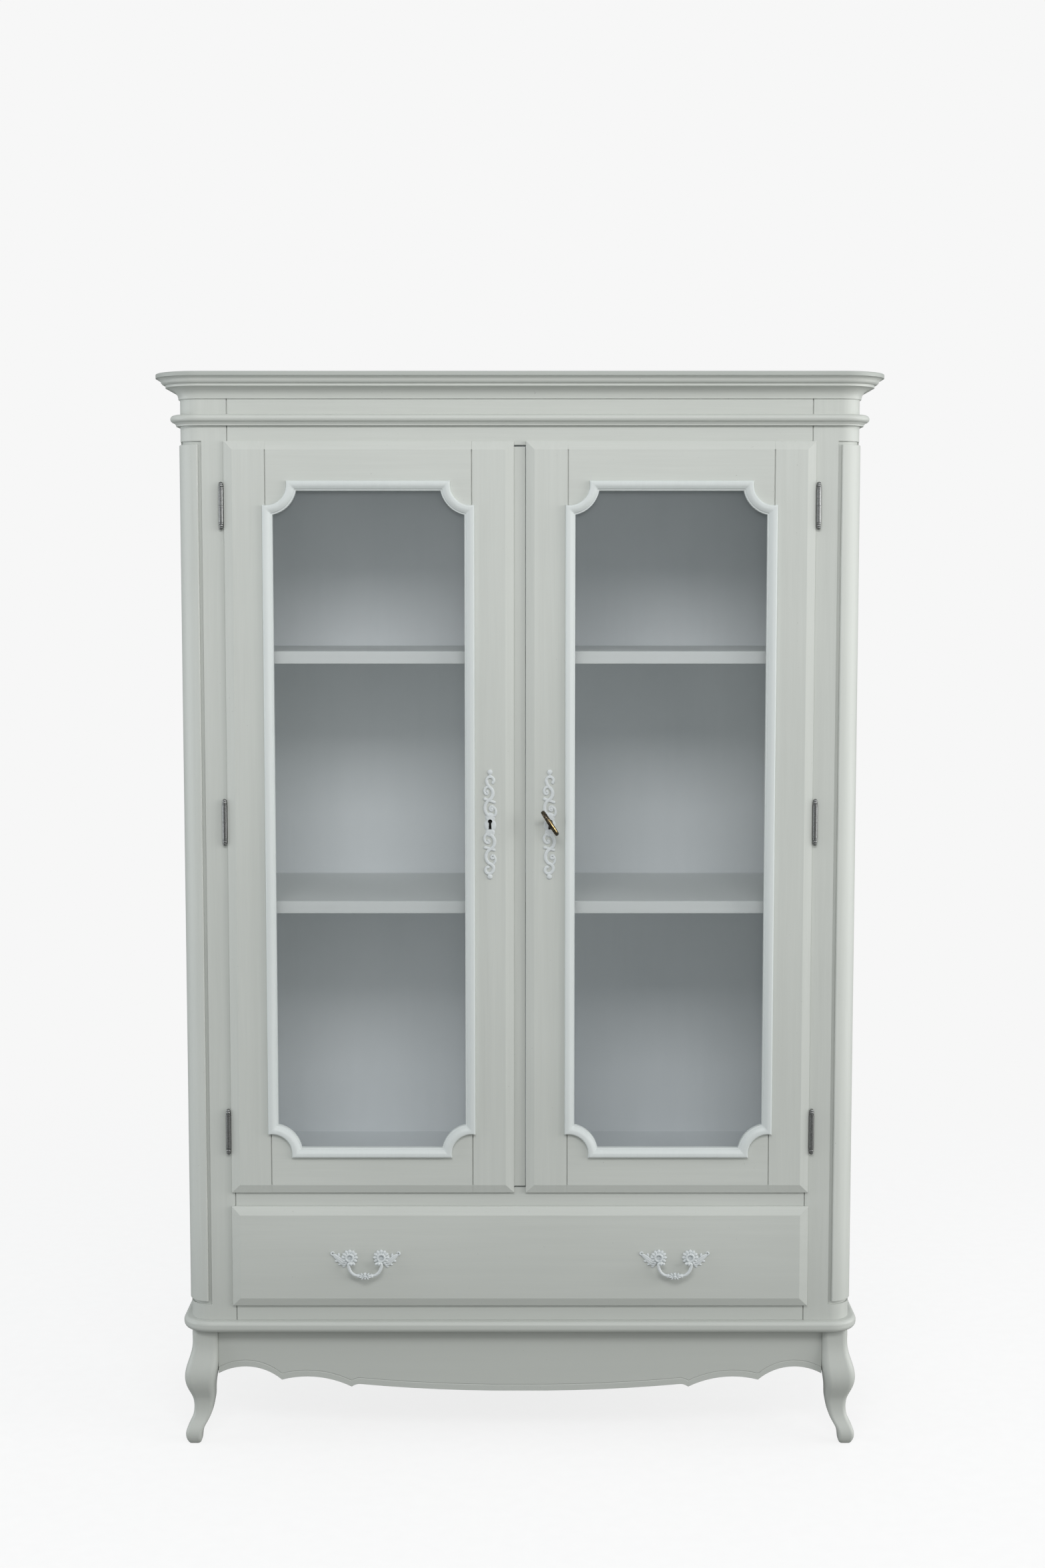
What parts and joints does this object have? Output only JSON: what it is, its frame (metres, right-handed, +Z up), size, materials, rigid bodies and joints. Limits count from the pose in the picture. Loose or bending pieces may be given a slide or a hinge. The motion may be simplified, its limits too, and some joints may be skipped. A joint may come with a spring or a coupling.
{
  "type": "curio cabinet",
  "caption": "Tall glazed display cabinet with paired doors over a drawer, on curved legs under a moulded cornice; the doors swing, the drawer slides and its drop handles lift.",
  "frame": {"origin": "on the floor, under the centre of the bounding box", "axes": "+X to the viewer's right along the front, +Y to the back, +Z up"},
  "size_m": [1.4, 0.532, 2.1],
  "materials": {
    "painted_wood": "satin pearl-grey paint over timber, faint brush marks and grain",
    "painted_interior": "the same paint, matter, inside the display case",
    "painted_hardware": "cast metal painted with the cabinet, edges lightly rubbed",
    "pewter": "antique pewter, polished on the high spots",
    "key_bronze": "dark bronze with brass showing where it is worn",
    "steel_fittings": "plain zinc-plated steel",
    "drawer_wood": "clear-waxed beech",
    "glass": "clear float glass"
  },
  "bodies": {
    "cabinet": {"apron_front": "painted_wood", "aprons_side_and_back": "painted_wood", "astragal_moulding": "painted_wood", "back_panel": "painted_interior", "base_board": "painted_wood", "bottom_rail": "painted_wood", "ceiling_board": "painted_interior", "cornice_moulding": "painted_wood", "display_floor": "painted_interior", "drawer_runners": "drawer_wood", "leg_front_left": "painted_wood", "leg_front_right": "painted_wood", "leg_rear_left": "painted_wood", "leg_rear_right": "painted_wood", "mid_rail": "painted_wood", "pilaster_left": "painted_wood", "pilaster_right": "painted_wood", "post_front_left": "painted_wood", "post_front_right": "painted_wood", "post_hinge_knuckles": "pewter", "posts_rear": "painted_wood", "shelf_lower": "painted_interior", "shelf_pins": "steel_fittings", "shelf_upper": "painted_interior", "side_panel_left": "painted_wood", "side_panel_right": "painted_wood", "side_rails": "painted_wood", "top_board": "painted_wood", "top_rail": "painted_wood"},
    "left_door": {"left_door_escutcheon": "painted_hardware", "left_door_glass": "glass", "left_door_glazing_beads": "painted_wood", "left_door_glazing_moulding": "painted_wood", "left_door_hinge_knuckles": "pewter", "left_door_hinge_stile": "painted_wood", "left_door_meeting_stile": "painted_wood", "left_door_rails": "painted_wood", "meeting_strip": "painted_wood", "lock_strike": "steel_fittings", "slide_bolt_straps": "steel_fittings"},
    "right_door": {"right_door_escutcheon": "painted_hardware", "right_door_glass": "glass", "right_door_glazing_beads": "painted_wood", "right_door_glazing_moulding": "painted_wood", "right_door_hinge_knuckles": "pewter", "right_door_hinge_stile": "painted_wood", "right_door_meeting_stile": "painted_wood", "right_door_rails": "painted_wood", "lock_case": "steel_fittings"},
    "drawer": {"drawer_front": "painted_wood", "drawer_sides": "drawer_wood", "drawer_back": "drawer_wood", "drawer_bottom": "drawer_wood", "handle_rosettes": "painted_hardware"},
    "key": {"key": "key_bronze"},
    "lock_bolt": {"lock_bolt": "steel_fittings"},
    "slide_bolt_top": {"slide_bolt_top": "steel_fittings"},
    "slide_bolt_bottom": {"slide_bolt_bottom": "steel_fittings"},
    "bail_left": {"bail_left": "painted_hardware"},
    "bail_right": {"bail_right": "painted_hardware"}
  },
  "joints": [
    {"name": "left_door_hinge", "type": "hinge", "parent": "cabinet", "child": "left_door", "pos_m": [-0.5715, -0.21, 1.2404], "axis": [0, 0, -1], "range_deg": [0, 110]},
    {"name": "right_door_hinge", "type": "hinge", "parent": "cabinet", "child": "right_door", "pos_m": [0.5715, -0.21, 1.2404], "axis": [0, 0, 1], "range_deg": [0, 110]},
    {"name": "drawer_slide", "type": "slide", "parent": "cabinet", "child": "drawer", "axis": [0, -1, 0], "range_m": [0, 0.35]},
    {"name": "bail_left_swing", "type": "hinge", "parent": "drawer", "child": "bail_left", "pos_m": [-0.304, -0.231, 0.3717], "axis": [-1, 0, 0], "range_deg": [0, 80]},
    {"name": "bail_right_swing", "type": "hinge", "parent": "drawer", "child": "bail_right", "pos_m": [0.304, -0.231, 0.3717], "axis": [-1, 0, 0], "range_deg": [0, 80]},
    {"name": "key_turn", "type": "hinge", "parent": "right_door", "child": "key", "pos_m": [0.0577, -0.216, 1.243], "axis": [0, -1, 0], "range_deg": [0, 90]},
    {"name": "lock_bolt_throw", "type": "slide", "parent": "right_door", "child": "lock_bolt", "axis": [-1, 0, 0], "range_m": [0, 0.01]},
    {"name": "slide_bolt_top_throw", "type": "slide", "parent": "left_door", "child": "slide_bolt_top", "axis": [0, 0, 1], "range_m": [0, 0.012]},
    {"name": "slide_bolt_bottom_throw", "type": "slide", "parent": "left_door", "child": "slide_bolt_bottom", "axis": [0, 0, -1], "range_m": [0, 0.012]}
  ],
  "couplings": [
    {"joint": "lock_bolt_throw", "follows": "key_turn", "m_per_rad": 0.0063662}
  ]
}
